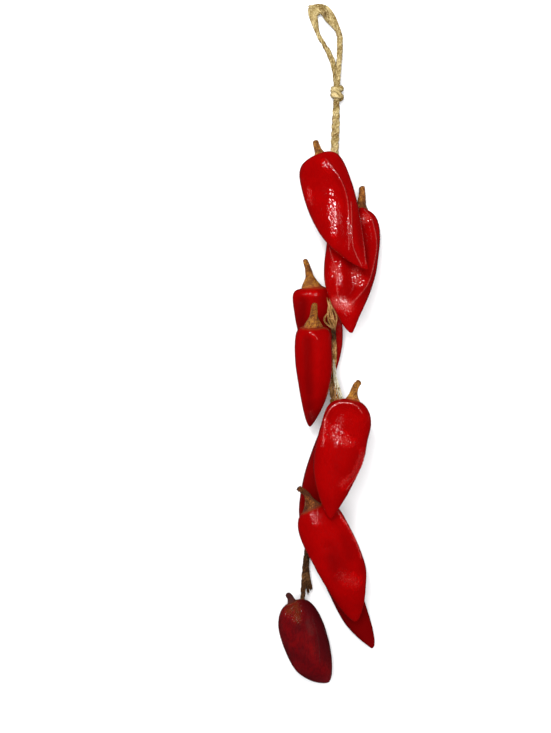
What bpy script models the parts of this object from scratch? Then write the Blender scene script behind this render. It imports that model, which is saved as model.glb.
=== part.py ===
"""A string of nine artificial chilli peppers on a plaited rope, lying face up.

The string lies along Y with its hanging loop at +Y, and +Z is the shown side. Every pepper is
one closed skin, with its calyx and stem as a second piece, and the rope is one piece from the
loop to the lowest pepper. Sizes in the tables are in millimetres and degrees.
"""

import math

import bmesh
import bpy
from mathutils import Matrix, Vector

MM = 0.001
SIDES = 20  # points round a pepper
RINGS = 15  # rings along a pepper, its two poles left out
SLOPE_STEP = 0.004  # how far along and round a skin its slope is measured
SLOPE_TURN = 0.05
STEM_SIDES = 10
RING_CROWDING = 0.8  # how much closer the rings are near the two ends
TIP_ROUND = 0.1  # the share of its width that a pepper keeps until just before its tip
TIP_SQUARE = 8  # how late that share closes
FOLD_FADE = 6.0  # half depth under which the folds shrink
GAP = 1.1  # clear space between a calyx and the skin under it
CALYX_WALL = 0.8
CALYX_UNDER = (0.55, 1)  # shares of the calyx's radius where its underside has rings
CALYX_LIP = 1.02  # how far its upper edge reaches past its lower one
BELL_RINGS = 4  # rings where a calyx narrows to its stalk
BELL_HEIGHT = 0.9  # of the calyx's radius
BELL_CURVE = 1.7  # how quickly it narrows
STEM_RINGS = 3
STEM_ROUND = (0.66, 1.2, 1.6)  # share of the width left near a stalk's end, how far out, and its pole
SAG_TO = 0.0  # the surface that the string lies on

SKIN_RED = (0.42, 0.005, 0.006)
DARK_RED = (0.13, 0.006, 0.007)
STEM_BROWN = (0.27, 0.10, 0.025)
ROPE_TAN = (0.55, 0.38, 0.18)

# A pepper's place: "at" is the middle of its shoulder. Its tip points along -Y turned by
# "heading" towards +X, lifted by "rise". "bow" and "lift" bend its middle sideways and upwards,
# and "hook" bends the last part sideways.
# Its outline: "left" and "right" give the reach of each side, the share of the length where
# that side has filled out (shoulder) and how squarely (square), the share from which it narrows
# (full), how long it stays full (belly) and how blunt it ends (point).
# "folds" are long ridges and valleys: angle at the shoulder and at the tip (0 is the right side,
# 90 the top), height, spread in degrees, and the shares of the length where they start and end.
# "stem" is the end of its stalk from "at", in the pepper's own frame.
PEPPERS = [
    {
        "at": (-10.1, 207.3, 23), "heading": 20.9, "rise": 17.5, "length": 145, "depth": 36,
        "bow": -7.2, "lift": 0, "hook": -1,
        "left": (29.2, 0.25, 4.2, 0.25, 2.9, 1.0), "right": (26.8, 0.45, 3.6, 0.36, 1.8, 1.4),
        "folds": [(58, 84, 1.8, 13, 0.02, 0.95), (28, 40, -1.6, 14, 0.1, 0.9)],
        "calyx": 0.24, "stem": (1, 16.5, 1), "stem_radius": (4.2, 3.3),
    },
    {
        "at": (35.6, 148.1, 9.5), "heading": -5.3, "rise": 17, "length": 145, "depth": 34,
        "bow": -6.3, "lift": 0, "hook": 1,
        "left": (30, 0.25, 2.6, 0.58, 1.2, 0.82), "right": (29, 0.39, 2.7, 0.43, 1.9, 1.5),
        "folds": [
            (125, 95, 1.6, 14, 0.2, 0.9), (36, 86, 2.0, 14, 0.1, 0.98), (84, 90, -2.6, 22, 0.15, 0.8),
        ],
        "calyx": 0.26, "stem": (-0.6, 26, 3), "stem_radius": (3.8, 2.9),
    },
    {
        "at": (-20.3, 63.3, 16), "heading": 8.2, "rise": -3, "length": 119, "depth": 31,
        "bow": -0.6, "lift": 0, "hook": 0,
        "left": (22.3, 0.12, 3.6, 0.24, 1.8, 1.0), "right": (29.6, 0.38, 2.6, 0.37, 2.2, 1.3),
        "folds": [(128, 120, -1.6, 13, 0.05, 0.9)],
        "calyx": 0.52, "stem": (-2.6, 28, 4), "stem_radius": (4.4, 2.9),
    },
    {
        "at": (-18.5, 18.3, 50), "heading": -1.6, "rise": -15, "length": 115, "depth": 31,
        "bow": 3.9, "lift": 8, "hook": -0.3,
        "left": (22.5, 0.37, 3.9, 0.34, 1.3, 0.87), "right": (18.4, 0.12, 3.6, 0.33, 2.0, 1.0),
        "folds": [(108, 100, -1.5, 13, 0.08, 0.75)],
        "calyx": 0.58, "stem": (0.2, 23, 2), "stem_radius": (4.4, 3.2),
    },
    {
        "at": (24.4, -61.3, 43), "heading": -10.8, "rise": 7.5, "length": 132.5, "depth": 35,
        "bow": -5.6, "lift": 2, "hook": -0.8,
        "left": (25, 0.12, 1.9, 0.56, 1.4, 0.88), "right": (28.6, 0.21, 1.9, 0.45, 1.8, 1.2),
        "folds": [(150, 140, 1.2, 12, 0.05, 0.6), (105, 95, -1.2, 20, 0.0, 0.35)],
        "calyx": 0.3, "stem": (3.4, 18.5, 2), "stem_radius": (4.3, 3.6),
    },
    {
        "at": (3.2, -75.2, 15), "heading": -12, "rise": -2, "length": 138, "depth": 29,
        "bow": -5.8, "lift": 0, "hook": -6.5,
        "left": (8.5, 0.6, 1.6, 0.72, 2.6, 0.5), "right": (28, 0.28, 2.5, 0.38, 1.9, 0.74),
        "folds": [(120, 110, -1.0, 14, 0.1, 0.8)],
        "calyx": 0.32, "stem": (-1, 11.5, 0), "stem_radius": (3.5, 2.9),
    },
    {
        "at": (-19.9, -179.3, 42), "heading": 21, "rise": -5, "length": 137, "depth": 33,
        "bow": 7.6, "lift": 5, "hook": -1.7,
        "left": (29.8, 0.33, 2.6, 0.31, 1.8, 0.86), "right": (25.3, 0.12, 2.9, 0.6, 1.2, 0.8),
        "folds": [(24, 40, 1.4, 12, 0.03, 0.6), (70, 80, -1.5, 20, 0.35, 0.8)],
        "calyx": 0.42, "stem": (-6, 24, 3), "stem_radius": (4.2, 2.8),
    },
    {
        "at": (-12.4, -214.5, 12.5), "heading": 25.7, "rise": -1.5, "length": 140.5, "depth": 25,
        "bow": -2.3, "lift": 0, "hook": -1.5,
        "left": (14.5, 0.25, 2.6, 0.65, 1.8, 1.3), "right": (22.2, 0.25, 2.6, 0.34, 1.2, 0.56),
        "folds": [(60, 70, -1.2, 14, 0.1, 0.9)],
        "calyx": 0.36, "stem": (6, 8.5, 0.5), "stem_radius": (3.4, 2.8),
    },
    {
        "at": (-41.4, -286.5, 20), "heading": 24, "rise": -1.2, "length": 98.5, "depth": 40,
        "bow": -3, "lift": 0, "hook": -0.9,
        "left": (26, 0.45, 2.6, 0.63, 2.3, 0.89), "right": (25.3, 0.38, 2.5, 0.33, 2.1, 0.86),
        "folds": [(100, 90, -1.4, 16, 0.2, 0.85)],
        "calyx": 0.2, "stem": (-1.4, 8.1, 1), "stem_radius": (3.7, 3.2),
    },
]

# The rope's routes, each a list of places with the rope's width there.
LOOP = [
    ((7.8, 283.3, 2.8), 5), ((7.6, 295.3, 2.7), 5), ((6.6, 305.3, 2.7), 5), ((4.2, 315.3, 2.6), 5),
    ((0, 325.8, 2.7), 4.8), ((-5.8, 335.8, 2.7), 4.8), ((-11, 344.8, 2.7), 5), ((-14.4, 354.3, 3), 5.6),
    ((-15.8, 365.3, 3.8), 6.6), ((-11.4, 372.9, 4.6), 7.8), ((-4.4, 369.9, 4.6), 8.6),
    ((0.8, 363.3, 4.2), 7.6), ((6.2, 357.7, 3.6), 6.6), ((10.4, 350.3, 3.2), 6),
    ((12, 341.3, 2.9), 5.4), ((11.8, 329.3, 2.9), 5.2), ((11.2, 318.3, 4.2), 5.2),
    ((10.6, 306.3, 7.6), 5), ((10, 295.3, 8.6), 5), ((9.6, 283.3, 8.8), 5),
]
CORD = [
    ((9, 283.3, 7), 6.4), ((8.6, 271.3, 4.6), 6.4), ((7.8, 257.3, 4), 7.2), ((7, 241.3, 4), 7.8),
    ((6.2, 223.3, 4), 7.8), ((6.4, 203.3, 4), 7.6), ((7, 179.3, 4), 7.4), ((5.8, 154.3, 4), 7.2),
    ((4.2, 127.3, 4), 7), ((4, 103.3, 4), 6.8), ((4.4, 87.3, 5.2), 6.4), ((2.6, 74.3, 12), 5.6),
    ((-0.2, 65.3, 20), 4.6), ((-0.8, 58.8, 25.2), 4.6), ((-0.8, 50.3, 30), 5),
    ((-0.2, 40.3, 34.8), 6.2), ((1.4, 27.3, 36.3), 6.2), ((4, 13.3, 32.5), 5), ((5, -0.7, 29), 5),
    ((5.4, -14.7, 26), 5.2), ((4.4, -27.7, 24), 5.4), ((2.2, -39.7, 23.5), 5),
    ((1.8, -51.7, 23.5), 4.8), ((4.2, -60.7, 23.4), 4.8), ((11.2, -66.7, 20.5), 4.8),
    ((20.6, -74.7, 14.6), 4.8), ((26.2, -86.7, 7.4), 4.8), ((26.4, -100.7, 3), 5),
    ((20.8, -120.7, 3), 5.2), ((12.6, -144.7, 3), 5.4), ((1.6, -170.7, 3), 5.6),
    ((-11.2, -196.7, 3.2), 6), ((-21, -217.7, 3.4), 6.4), ((-24.6, -236.7, 4), 7),
    ((-26.2, -252.7, 5.2), 7.4), ((-27.4, -264.7, 8.4), 7), ((-28.8, -274.7, 13), 6),
    ((-29.4, -282.1, 17), 5.8),
]
FORK = [
    ((5.4, -20.7, 25.4), 4), ((4.6, -36.7, 25.2), 4), ((6.8, -47.7, 25.2), 4.2), ((12.4, -58.3, 25.4), 3.8),
]
ROPE_STEP = 8.6  # space between the tube's points

KNOT_AT = (9.1, 279.9, 7.6)
KNOT_TURNS = [((0, 4.2, 0.2), 24), ((0, -3.8, 0), -20)]  # offset of each turn and its slant
TURN_RADIUS = 4.9
TURN_WIDTH = 5.0
LUMPS = [  # middle, half sizes and slant of each gathered place in the rope
    ("knot_core", KNOT_AT, (6.0, 8.6, 5.6), 0),
    ("bunch", (1, 28.3, 36.4), (6.4, 13.5, 4.6), 10),
    ("loop_top", (-11.4, 369.7, 4.6), (12.4, 6.6, 3.8), -16),
]
TUFT_TAPER = (0.8, 0.25)  # width at a tuft's middle and end, as shares of that at its base
TUFTS = [  # base, end and width at the base of each loose tuft
    ((0.2, 32.8, 37), (-3, 46.8, 37), 5.6),
    ((-26.4, -264.7, 7.4), (-19.7, -277.3, 6.6), 6.6),
    ((-14.8, 370.7, 4.4), (-23.4, 375.7, 4.0), 7.6),
]


def make_material(name, colour, roughness):
    made = bpy.data.materials.new(name)
    made.use_nodes = True
    shader = made.node_tree.nodes["Principled BSDF"]
    shader.inputs["Base Color"].default_value = (*colour, 1)
    shader.inputs["Roughness"].default_value = roughness
    shader.inputs["Metallic"].default_value = 0
    return made


def loft(name, rings, first, last):
    """A closed mesh through equal rings of points, from the pole first to the pole last."""
    form = bmesh.new()
    rows = [[form.verts.new(point) for point in ring] for ring in rings]
    start = form.verts.new(first)
    end = form.verts.new(last)
    count = len(rows[0])
    for i in range(count):
        j = (i + 1) % count
        form.faces.new((start, rows[0][j], rows[0][i]))
        form.faces.new((end, rows[-1][i], rows[-1][j]))
        for upper, lower in zip(rows, rows[1:]):
            form.faces.new((upper[i], upper[j], lower[j], lower[i]))
    bmesh.ops.recalc_face_normals(form, faces=form.faces)
    mesh = bpy.data.meshes.new(name)
    form.to_mesh(mesh)
    form.free()
    mesh.shade_smooth()
    return mesh


def side_share(t, side):
    """The share of its full reach that a side has at t, from 0 at the shoulder to 1 at the tip."""
    _, shoulder, square, full, belly, point = side
    s = min(t / shoulder, 1)
    fill = (1 - (1 - s) ** square) ** (1 / square)
    u = max(0, (t - full) / (1 - full))
    return fill * ((1 - TIP_ROUND) * (1 - u ** belly) ** point + TIP_ROUND * (1 - u ** TIP_SQUARE) ** 0.5)


def fold_height(t, angle, p):
    height = 0
    for start, end, rise, spread, t0, t1 in p["folds"]:
        if t0 < t < t1:
            off = math.degrees(angle) - (start + (end - start) * t)
            off = (off + 180) % 360 - 180
            height += rise * math.exp(-((off / spread) ** 2)) * math.sin(math.pi * (t - t0) / (t1 - t0))
    return height


def skin_point(t, angle, p):
    """A point on the skin in the pepper's own frame: tip towards -Y, width on X, depth on Z."""
    left = p["left"][0] * side_share(t, p["left"])
    right = p["right"][0] * side_share(t, p["right"])
    reach = right if math.cos(angle) > 0 else left
    depth = p["depth"] / 2 * (left + right) / (p["left"][0] + p["right"][0])
    bend = math.sin(math.pi * t)
    fold = fold_height(t, angle, p) * min(1, depth / FOLD_FADE)
    x = p["bow"] * bend + p["hook"] * 4 * t ** 4 * (1 - t) + (reach + fold) * math.cos(angle)
    z = p["lift"] * bend + (depth + fold) * math.sin(angle)
    return Vector((x, -p["length"] * t, z))


def shoulder_place(share, angle, p):
    """How far down the shoulder the skin reaches a share of its width, at this angle."""
    down = []
    for _, shoulder, square, *_ in (p["left"], p["right"]):
        down.append(shoulder * (1 - (1 - share ** square) ** (1 / square)))
    weight = (1 + math.cos(angle)) / 2
    return down[0] * (1 - weight) + down[1] * weight


def above_skin(share, angle, p, height):
    """A point at this height over the shoulder's skin."""
    t = shoulder_place(share, angle, p)
    here = skin_point(t, angle, p)
    along = skin_point(t + SLOPE_STEP, angle, p) - here
    across = skin_point(t, angle + SLOPE_TURN, p) - here
    out = across.cross(along)
    if out.dot(here - skin_point(0.5, 0, p)) < 0:
        out.negate()
    return here + out.normalized() * height


def circle(count):
    return [2 * math.pi * k / count for k in range(count)]


def pepper_matrix(p):
    turn = Matrix.Rotation(math.radians(p["heading"]), 4, "Z")
    rise = Matrix.Rotation(-math.radians(p["rise"]), 4, "X")
    return Matrix.Translation(Vector(p["at"]) * MM) @ turn @ rise


def press_flat(mesh, place):
    """Flattens what would reach below the surface that the string lies on."""
    back = place.inverted()
    for vertex in mesh.vertices:
        there = place @ vertex.co
        if there.z < SAG_TO:
            there.z = SAG_TO
            vertex.co = back @ there


def make_pepper(name, p):
    rings = []
    for i in range(1, RINGS + 1):
        s = i / (RINGS + 1)
        t = s - RING_CROWDING * math.sin(2 * math.pi * s) / (2 * math.pi)
        rings.append([skin_point(t, angle, p) * MM for angle in circle(SIDES)])
    mesh = loft(name, rings, skin_point(0, 0, p) * MM, skin_point(1, 0, p) * MM)
    press_flat(mesh, pepper_matrix(p))
    return mesh


def make_stem(name, p):
    """The calyx follows the shoulder, then narrows into a bent stalk with a blunt end."""
    angles = circle(STEM_SIDES)
    calyx = p["calyx"]
    thick, thin = p["stem_radius"]
    bell = BELL_HEIGHT * calyx * (p["left"][0] + p["right"][0]) / 2
    top = skin_point(0, 0, p) + Vector((0, GAP, 0))
    end = top + Vector(p["stem"])
    foot = top + Vector((0, bell, 0))
    bend = foot + Vector((0, (end.y - foot.y) / 2, 0))
    rings = [[above_skin(calyx * share, a, p, GAP) for a in angles] for share in CALYX_UNDER]
    rim = [above_skin(calyx * CALYX_LIP, a, p, GAP + CALYX_WALL) for a in angles]
    rings.append(rim)
    for i in range(1, BELL_RINGS + 1):
        f = i / BELL_RINGS
        inward = 1 - (1 - f) ** BELL_CURVE
        ring = []
        for a, edge in zip(angles, rim):
            neck = foot + Vector((thick * math.cos(a), 0, thick * math.sin(a)))
            ring.append(Vector((
                edge.x + (neck.x - edge.x) * inward,
                edge.y + (neck.y - edge.y) * f,
                edge.z + (neck.z - edge.z) * inward,
            )))
        rings.append(ring)
    for i in range(1, STEM_RINGS + 1):
        f = i / STEM_RINGS
        middle = foot.lerp(bend, f).lerp(bend.lerp(end, f), f)
        aim = (bend - foot).lerp(end - bend, f).normalized()
        side = aim.cross(Vector((0, 0, 1))).normalized()
        up = side.cross(aim)
        radius = thick + (thin - thick) * f
        rings.append([middle + side * radius * math.cos(a) + up * radius * math.sin(a) for a in angles])
    narrow, out, pole = STEM_ROUND
    rings.append([end + aim * out + (point - end) * narrow for point in rings[-1]])
    rings = [[point * MM for point in ring] for ring in rings]
    mesh = loft(name, rings, top * MM, (end + aim * pole) * MM)
    press_flat(mesh, pepper_matrix(p))
    return mesh


def smooth_route(route):
    """Even points on a Catmull-Rom curve through a route, each with the rope's width there."""
    places = [Vector((*place, width)) for place, width in route]
    places = [places[0] * 2 - places[1], *places, places[-1] * 2 - places[-2]]
    fine = []
    for a, b, c, d in zip(places, places[1:], places[2:], places[3:]):
        for k in range(10):
            t = k / 10
            fine.append((b * 2 + (c - a) * t + (a * 2 - b * 5 + c * 4 - d) * t ** 2
                         + (b * 3 - a - c * 3 + d) * t ** 3) / 2)
    fine.append(places[-2])
    even = [fine[0]]
    for point in fine[1:]:
        if (point.xyz - even[-1].xyz).length >= ROPE_STEP:
            even.append(point)
    even[-1] = fine[-1]
    return even


def as_mesh(obj, collection):
    """Turns a curve object into a mesh object with welded caps."""
    collection.objects.link(obj)
    graph = bpy.context.evaluated_depsgraph_get()
    mesh = bpy.data.meshes.new_from_object(obj.evaluated_get(graph))
    form = bmesh.new()
    form.from_mesh(mesh)
    bmesh.ops.remove_doubles(form, verts=form.verts, dist=1e-6)
    bmesh.ops.recalc_face_normals(form, faces=form.faces)
    form.to_mesh(mesh)
    form.free()
    made = bpy.data.objects.new(obj.name, mesh)
    collection.objects.link(made)
    bpy.data.objects.remove(obj)
    made.name = mesh.name
    return made


def make_tube(name, route, collection):
    curve = bpy.data.curves.new(name, "CURVE")
    curve.dimensions = "3D"
    curve.bevel_depth = MM / 2
    curve.bevel_resolution = 2
    curve.use_fill_caps = True
    points = smooth_route(route)
    spline = curve.splines.new("POLY")
    spline.points.add(len(points) - 1)
    for spot, point in zip(spline.points, points):
        spot.co = (*point.xyz * MM, 1)
        spot.radius = point.w
    return as_mesh(bpy.data.objects.new(name, curve), collection)


def make_lump(name, at, size, slant, collection):
    form = bmesh.new()
    bmesh.ops.create_uvsphere(form, u_segments=12, v_segments=8, radius=1)
    mesh = bpy.data.meshes.new(name)
    form.to_mesh(mesh)
    form.free()
    place = Matrix.Translation(Vector(at) * MM) @ Matrix.Rotation(math.radians(slant), 4, "Z")
    grow = Matrix.Diagonal((size[0] * MM, size[2] * MM, size[1] * MM, 1))
    mesh.transform(place @ Matrix.Rotation(math.radians(-90), 4, "X") @ grow)
    made = bpy.data.objects.new(name, mesh)
    collection.objects.link(made)
    return made


def make_turn(name, at, slant, collection):
    """One turn of rope round the knot."""
    bpy.ops.mesh.primitive_torus_add(
        major_segments=14, minor_segments=7,
        major_radius=TURN_RADIUS * MM, minor_radius=TURN_WIDTH / 2 * MM,
    )
    made = bpy.context.object
    made.name = name
    turn = Matrix.Rotation(math.radians(90), 4, "X")
    place = Matrix.Translation(Vector(at) * MM) @ Matrix.Rotation(math.radians(slant), 4, "Z")
    made.data.transform(place @ turn)
    for holder in list(made.users_collection):
        holder.objects.unlink(made)
    collection.objects.link(made)
    return made


def make_tuft(name, base, end, width, collection):
    middle = (Vector(base) + Vector(end)) / 2
    middle_width, end_width = (width * share for share in TUFT_TAPER)
    return make_tube(name, [(base, width), (middle, middle_width), (end, end_width)], collection)


def make_rope(part, cutters):
    rope = make_tube("rope", CORD, part)
    joined = [make_tube("loop", LOOP, cutters), make_tube("fork", FORK, cutters)]
    joined += [make_lump(*lump, cutters) for lump in LUMPS]
    for i, (offset, slant) in enumerate(KNOT_TURNS):
        at = Vector(KNOT_AT) + Vector(offset)
        joined.append(make_turn(f"knot_turn_{i + 1}", at, slant, cutters))
    for i, (base, end, width) in enumerate(TUFTS):
        joined.append(make_tuft(f"tuft_{i + 1}", base, end, width, cutters))
    for piece in joined:
        union = rope.modifiers.new(piece.name, "BOOLEAN")
        union.operation = "UNION"
        union.object = piece
        piece.hide_render = True
        piece.display_type = "WIRE"
    rope.data.materials.append(make_material("rope_fibre", ROPE_TAN, 0.85))
    return rope


def clear_scene():
    for found in list(bpy.data.objects):
        bpy.data.objects.remove(found)


def main():
    clear_scene()
    part = bpy.data.collections.new("chilli_string")
    cutters = bpy.data.collections.new("cutters")
    bpy.context.scene.collection.children.link(part)
    bpy.context.scene.collection.children.link(cutters)
    for i, p in enumerate(PEPPERS):
        place = pepper_matrix(p)
        skin = bpy.data.objects.new(f"pepper_{i + 1}", make_pepper(f"pepper_{i + 1}", p))
        stem = bpy.data.objects.new(f"stem_{i + 1}", make_stem(f"stem_{i + 1}", p))
        colour = DARK_RED if p is PEPPERS[-1] else SKIN_RED
        skin.data.materials.append(make_material(f"skin_{i + 1}", colour, 0.3))
        stem.data.materials.append(make_material(f"stem_{i + 1}", STEM_BROWN, 0.8))
        for made in (skin, stem):
            made.matrix_world = place
            part.objects.link(made)
    make_rope(part, cutters)


main()
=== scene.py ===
import math
import random

import bmesh
import bpy
import numpy as np
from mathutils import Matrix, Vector
from mathutils.bvhtree import BVHTree


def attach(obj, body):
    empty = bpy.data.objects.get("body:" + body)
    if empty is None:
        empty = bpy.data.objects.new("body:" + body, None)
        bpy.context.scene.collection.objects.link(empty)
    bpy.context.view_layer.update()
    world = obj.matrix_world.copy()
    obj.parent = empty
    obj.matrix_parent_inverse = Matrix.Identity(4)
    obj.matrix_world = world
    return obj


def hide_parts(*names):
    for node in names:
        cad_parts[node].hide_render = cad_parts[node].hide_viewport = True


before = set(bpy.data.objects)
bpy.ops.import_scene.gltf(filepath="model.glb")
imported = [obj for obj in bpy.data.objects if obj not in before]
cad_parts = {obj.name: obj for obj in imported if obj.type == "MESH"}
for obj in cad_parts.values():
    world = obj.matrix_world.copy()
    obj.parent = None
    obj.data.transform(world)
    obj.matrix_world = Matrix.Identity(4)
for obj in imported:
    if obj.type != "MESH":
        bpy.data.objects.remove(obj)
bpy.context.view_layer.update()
mm = 0.001

# The camera looks straight down on the string, a little to its left and below its middle.
camera = {"eye": (-59.7, -26.0, 1500), "lens": 65.6}


def placed(name, data):  # a new object in the scene
    obj = bpy.data.objects.new(name, data)
    bpy.context.scene.collection.objects.link(obj)
    return obj


eye = placed("camera", bpy.data.cameras.new("camera"))
eye.location = Vector(camera["eye"]) * mm
eye.data.lens = camera["lens"]
bpy.context.scene.camera = eye


class Wire:  # a node's output, usable in sums
    def __init__(self, tree, socket):
        self.tree = tree
        self.socket = socket

    def join(self, operation, *parts):
        return Graph(self.tree).add("ShaderNodeMath", {"operation": operation}, dict(enumerate(parts)))

    def apply(self, operation):
        return self.join(operation, self)

    def __add__(self, other):
        return self.join("ADD", self, other)

    def __sub__(self, other):
        return self.join("SUBTRACT", self, other)

    def __mul__(self, other):
        return self.join("MULTIPLY", self, other)

    def __truediv__(self, other):
        return self.join("DIVIDE", self, other)

    def __rsub__(self, other):
        return self.join("SUBTRACT", other, self)

    def __rtruediv__(self, other):
        return self.join("DIVIDE", other, self)

    __radd__ = __add__
    __rmul__ = __mul__


class Graph:  # adds nodes to a material's tree or a geometry tree
    def __init__(self, tree):
        self.tree = tree

    def add(self, kind, settings=None, inputs=None, out=0):
        node = self.tree.nodes.new(kind)
        for name, value in (settings or {}).items():
            if name == "stops":
                self.setStops(node.color_ramp, value)
            else:
                setattr(node, name, value)
        self.fill(node, inputs or {})
        return Wire(self.tree, node.outputs[out]) if out is not None else node

    def fill(self, node, inputs):  # sets or links a node's sockets
        for name, value in inputs.items():
            if isinstance(value, Wire):
                self.tree.links.new(value.socket, node.inputs[name])
            else:
                node.inputs[name].default_value = value

    def setStops(self, ramp, stops):
        while len(ramp.elements) < len(stops):
            ramp.elements.new(1)
        for element, (place, colour) in zip(ramp.elements, stops):
            element.position = place
            element.color = (*colour, 1)

    def ramp(self, value, stops):
        return self.add("ShaderNodeValToRGB", {"stops": stops}, {"Fac": value})

    def step(self, value, low, high):  # 0 at low, 1 at high, smooth between
        ends = {"Value": value, "From Min": low, "From Max": high}
        return self.add("ShaderNodeMapRange", {"interpolation_type": "SMOOTHSTEP"}, ends)

    def broken(self, value, noise, amount, low, high):  # a step with an edge broken up by a noise
        return self.step(value + (noise - 0.5) * amount, low, high)

    def mix(self, share, a, b, blend="MIX"):
        a, b = [colour if isinstance(colour, Wire) else (*colour, 1) for colour in (a, b)]
        setting = {"data_type": "RGBA", "blend_type": blend}
        return self.add("ShaderNodeMix", setting, {0: share, 6: a, 7: b}, 2)

    def noise(self, where, scale, detail=2.0, rough=0.5, out=0):
        sizes = {"Vector": where, "Scale": scale, "Detail": detail, "Roughness": rough}
        return self.add("ShaderNodeTexNoise", {}, sizes, out)

    def ridges(self, where, scale, detail=2.0, rough=0.5):  # sharp crests between smooth hollows
        sizes = {"Vector": where, "Scale": scale, "Detail": detail, "Roughness": rough, "Offset": 1.0}
        return self.add("ShaderNodeTexNoise", {"noise_type": "RIDGED_MULTIFRACTAL"}, sizes)

    def vector(self, operation, *parts):
        return self.add("ShaderNodeVectorMath", {"operation": operation}, dict(enumerate(parts)))

    def scaled(self, vector, by):
        return self.add("ShaderNodeVectorMath", {"operation": "SCALE"}, {0: vector, "Scale": by})

    def combine(self, x, y, z):
        return self.add("ShaderNodeCombineXYZ", {}, {"X": x, "Y": y, "Z": z})

    def place(self):  # the place on the object, in millimetres
        return self.scaled(self.add("ShaderNodeTexCoord", {}, {}, 3), 1 / mm)

    def painted(self, name):  # a value kept on the mesh's points
        return self.add("ShaderNodeAttribute", {"attribute_name": name}, {}, 2)

    def bump(self, height, strength):
        sizes = {"Strength": strength, "Distance": 0.4 * mm, "Height": height}
        return self.add("ShaderNodeBump", {}, sizes)


def startMaterial(name):
    made = bpy.data.materials.new(name)
    made.use_nodes = True
    return made, Graph(made.node_tree), made.node_tree.nodes["Principled BSDF"]


def plug(graph, node, **values):  # a shader's sockets by name
    graph.fill(node, {name.replace("_", " "): value for name, value in values.items()})


def startTree(name, sizes):  # a geometry tree with named inputs and their defaults
    tree = bpy.data.node_groups.new(name, "GeometryNodeTree")
    for end in ("INPUT", "OUTPUT"):
        tree.interface.new_socket("Geometry", in_out=end, socket_type="NodeSocketGeometry")
    for title, value in sizes.items():
        kind = "NodeSocketInt" if isinstance(value, int) else "NodeSocketFloat"
        tree.interface.new_socket(title, in_out="INPUT", socket_type=kind).default_value = value
    tree.interface.new_socket("Material", in_out="INPUT", socket_type="NodeSocketMaterial")
    given = tree.nodes.new("NodeGroupInput")
    inputs = {socket.name: Wire(tree, socket) for socket in given.outputs if socket.name}
    return tree, Graph(tree), inputs


def endTree(graph, geometry, material):
    real = graph.add("GeometryNodeRealizeInstances", {}, {"Geometry": geometry})
    done = graph.add("GeometryNodeSetMaterial", {}, {"Geometry": real, "Material": material})
    out = graph.tree.nodes.new("NodeGroupOutput")
    graph.tree.links.new(done.socket, out.inputs[0])


def applyTree(obj, tree, values):  # runs a tree on an object and keeps the result as a plain mesh
    change = obj.modifiers.new(tree.name, "NODES")
    change.node_group = tree
    for socket in tree.interface.items_tree:
        if socket.item_type == "SOCKET" and socket.name in values:
            change[socket.identifier] = values[socket.name]
    return settle(obj)


def settle(obj):  # replaces an object with its finished mesh
    name = obj.name
    graph = bpy.context.evaluated_depsgraph_get()
    mesh = bpy.data.meshes.new_from_object(obj.evaluated_get(graph), depsgraph=graph)
    bpy.data.objects.remove(obj)
    mesh.name = name
    return placed(name, mesh)


def stored(graph, geometry, name, value, kind="FLOAT"):
    setting = {"data_type": kind, "domain": "POINT"}
    kept = {"Geometry": geometry, "Name": name, "Value": value}
    return graph.add("GeometryNodeStoreNamedAttribute", setting, kept)


def named(graph, name, kind="FLOAT"):
    return graph.add("GeometryNodeInputNamedAttribute", {"data_type": kind}, {"Name": name})


def shifted(graph, geometry, offset):
    return graph.add("GeometryNodeSetPosition", {}, {"Geometry": geometry, "Offset": offset})


def swept(graph, curve, ring, radius):  # a closed tube along a curve
    parts = {"Curve": curve, "Profile Curve": ring, "Scale": radius, "Fill Caps": True}
    return graph.add("GeometryNodeCurveToMesh", {}, parts)


crinkleShares = {"everywhere": 0.15, "patches": 0.2, "spots": 1.1}


# The skin: broad dents, long creases, and a fine crinkle that is strong in patches.
def makeSkinTree():
    sizes = {
        "Crinkle": 0.2, "Crinkle Size": 4.5, "Dents": 0.5, "Dent Size": 22.0, "Patches": 0.5,
        "Swell": 0.35, "Seed": 0,
    }
    tree, g, given = startTree("crinkledSkin", sizes)
    stretched = g.vector("MULTIPLY", g.add("GeometryNodeInputPosition"), (1 / mm, 0.8 / mm, 1 / mm))
    shift = g.combine(given["Seed"] * 13.7, given["Seed"] * 5.1, given["Seed"] * 9.3)
    place = g.vector("ADD", stretched, shift)
    warp = g.noise(place, 0.12, 2.0, 0.5, 1)
    bent = g.vector("ADD", place, g.scaled(g.vector("SUBTRACT", warp, (0.5, 0.5, 0.5)), 5.0))
    sharp = g.ridges(bent, 1.0 / given["Crinkle Size"], 2.0, 0.55)
    soft = g.noise(bent, 0.42 / given["Crinkle Size"], 1.0, 0.4)
    patch = g.step(g.noise(place, 0.035, 1.0), given["Patches"] - 0.12, given["Patches"] + 0.1)
    spot = g.broken(named(g, "spot"), g.noise(place, 0.16, 2.0), 0.9, 0.3, 0.75)
    strength = crinkleShares["everywhere"] + crinkleShares["patches"] * patch
    strength = strength + crinkleShares["spots"] * spot
    calm = named(g, "calm")
    crinkle = (sharp * 0.7 + soft * 0.8 - 0.9) * given["Crinkle"] * strength * (1 - calm)
    dents = (g.noise(place, 1.0 / given["Dent Size"], 1.0, 0.4) - 0.5) * 2 * given["Dents"]
    height = crinkle + dents + named(g, "crease") + given["Swell"]
    offset = g.scaled(g.add("GeometryNodeInputNormal"), height * mm)
    moved = shifted(g, given["Geometry"], offset)
    endTree(g, stored(g, moved, "crinkle", sharp * strength), given["Material"])
    return tree


skinTree = makeSkinTree()

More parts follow.
